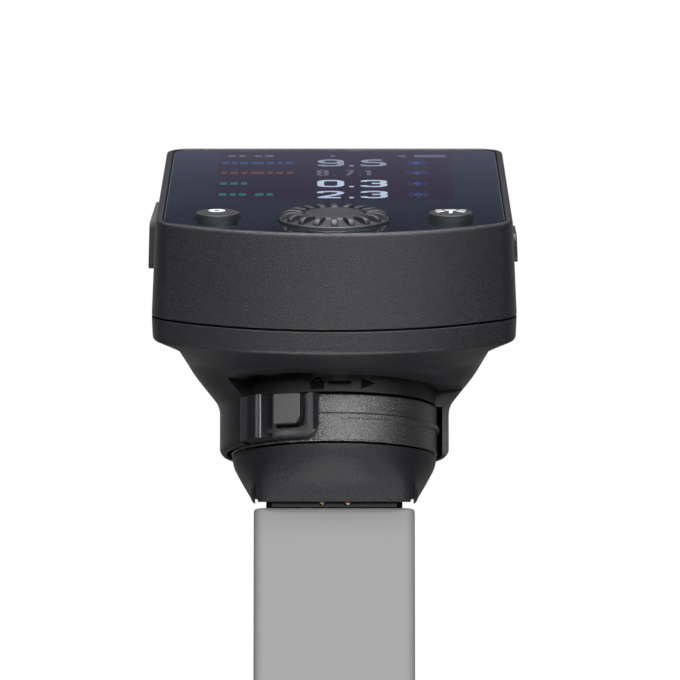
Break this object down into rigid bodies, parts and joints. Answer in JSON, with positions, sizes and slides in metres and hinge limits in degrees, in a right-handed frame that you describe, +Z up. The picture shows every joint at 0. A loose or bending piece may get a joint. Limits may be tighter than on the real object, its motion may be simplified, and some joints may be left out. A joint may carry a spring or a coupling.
{
  "type": "wireless flash trigger",
  "caption": "Camera-shoe flash trigger: a tilted touchscreen head with a dial and buttons on a round neck with a lever-turned lock ring and a flat shoe foot.",
  "frame": {"origin": "centre of the foot plate's bottom face, which is the underside of the camera-shoe foot", "axes": "+Z up out of the camera's shoe along the neck axis, +Y towards the subject, +X to the user's right"},
  "size_m": [0.051, 0.0743, 0.0584],
  "materials": {
    "casing": "finely grained charcoal moulded plastic with pale specks",
    "ring_plastic": "coarse satin grain",
    "lever_plastic": "smooth satin",
    "bowl_plastic": "fine spark-eroded grain with pale specks",
    "cover_glass": "polished, with a printed dark border",
    "display": "lit display behind glass",
    "knob": "satin moulded",
    "rubber": "matt soft rubber",
    "inner_plastic": "moulded",
    "board": "solder mask",
    "steel": "bright plated",
    "gold_contact": "gold plated",
    "battery_foil": "matt foil pouch"
  },
  "bodies": {
    "casing": {"upper_shell": "casing", "lower_shell": "casing", "cover_glass": "cover_glass", "display_module": "display", "display_ribbon": "inner_plastic", "test_switch": "inner_plastic", "lamp_switch": "inner_plastic", "power_switch": "inner_plastic", "sync_jack": "inner_plastic", "neck_core": "inner_plastic", "contact_block": "inner_plastic", "main_board": "board", "radio_board": "board", "battery": "battery_foil", "encoder_body": "steel", "usb_socket": "steel", "radio_shield": "steel", "foot_plate": "steel", "casing_screw_1": "steel", "casing_screw_2": "steel", "casing_screw_3": "steel", "casing_screw_4": "steel", "board_screw_1": "steel", "board_screw_2": "steel", "foot_screw_1": "steel", "foot_screw_2": "steel", "foot_screw_3": "steel", "foot_screw_4": "steel", "foot_base": "bowl_plastic", "rear_contact_1": "gold_contact", "rear_contact_2": "gold_contact"},
    "dial": {"dial_knob": "knob", "dial_cap": "knob", "encoder_shaft": "steel"},
    "test_button": {"test_button": "knob"},
    "lamp_button": {"lamp_button": "knob"},
    "power_button": {"power_button": "knob"},
    "port_cover": {"port_cover": "rubber"},
    "lock_ring": {"lock_ring": "ring_plastic", "lock_lever": "lever_plastic"},
    "release_button": {"release_button": "lever_plastic"},
    "lock_pin": {"lock_pin": "steel"},
    "centre_contact": {"centre_contact": "gold_contact"},
    "data_contact_1": {"data_contact_1": "gold_contact"},
    "data_contact_2": {"data_contact_2": "gold_contact"},
    "data_contact_3": {"data_contact_3": "gold_contact"},
    "data_contact_4": {"data_contact_4": "gold_contact"}
  },
  "joints": [
    {"name": "dial_turn", "type": "hinge", "parent": "casing", "child": "dial", "pos_m": [0, -0.02369, 0.035], "axis": [0, -0.3453, 0.9385], "continuous": true},
    {"name": "test_press", "type": "slide", "parent": "casing", "child": "test_button", "axis": [0, 0.3453, -0.9385], "range_m": [0, 0.0004], "stiffness_N_per_m": 1500, "springref_m": -0.0004},
    {"name": "lamp_press", "type": "slide", "parent": "casing", "child": "lamp_button", "axis": [0, 0.3453, -0.9385], "range_m": [0, 0.0004], "stiffness_N_per_m": 1500, "springref_m": -0.0004},
    {"name": "power_press", "type": "slide", "parent": "casing", "child": "power_button", "axis": [-1, 0, 0], "range_m": [0, 0.00025], "stiffness_N_per_m": 1500, "springref_m": -0.0004},
    {"name": "port_cover_swing", "type": "hinge", "parent": "casing", "child": "port_cover", "pos_m": [-0.025, 0.01089, 0.04293], "axis": [0, 0.3453, -0.9385], "range_deg": [0, 100]},
    {"name": "lock_turn", "type": "hinge", "parent": "casing", "child": "lock_ring", "pos_m": [0, 0, 0.0116], "axis": [0, 0, 1], "range_deg": [0, 90]},
    {"name": "release_press", "type": "slide", "parent": "lock_ring", "child": "release_button", "axis": [0.3867, 0.9222, 0], "range_m": [0, 0.0004], "stiffness_N_per_m": 800, "springref_m": -0.0005},
    {"name": "lock_pin_drop", "type": "slide", "parent": "casing", "child": "lock_pin", "axis": [0, 0, -1], "range_m": [0, 0.0012]},
    {"name": "centre_contact_spring", "type": "slide", "parent": "casing", "child": "centre_contact", "axis": [0, 0, 1], "range_m": [0, 0.0003], "stiffness_N_per_m": 250},
    {"name": "data_contact_1_spring", "type": "slide", "parent": "casing", "child": "data_contact_1", "axis": [0, 0, 1], "range_m": [0, 0.0003], "stiffness_N_per_m": 250},
    {"name": "data_contact_2_spring", "type": "slide", "parent": "casing", "child": "data_contact_2", "axis": [0, 0, 1], "range_m": [0, 0.0003], "stiffness_N_per_m": 250},
    {"name": "data_contact_3_spring", "type": "slide", "parent": "casing", "child": "data_contact_3", "axis": [0, 0, 1], "range_m": [0, 0.0003], "stiffness_N_per_m": 250},
    {"name": "data_contact_4_spring", "type": "slide", "parent": "casing", "child": "data_contact_4", "axis": [0, 0, 1], "range_m": [0, 0.0003], "stiffness_N_per_m": 250}
  ],
  "couplings": [
    {"joint": "lock_pin_drop", "follows": "lock_turn", "m_per_rad": 0.00076}
  ]
}
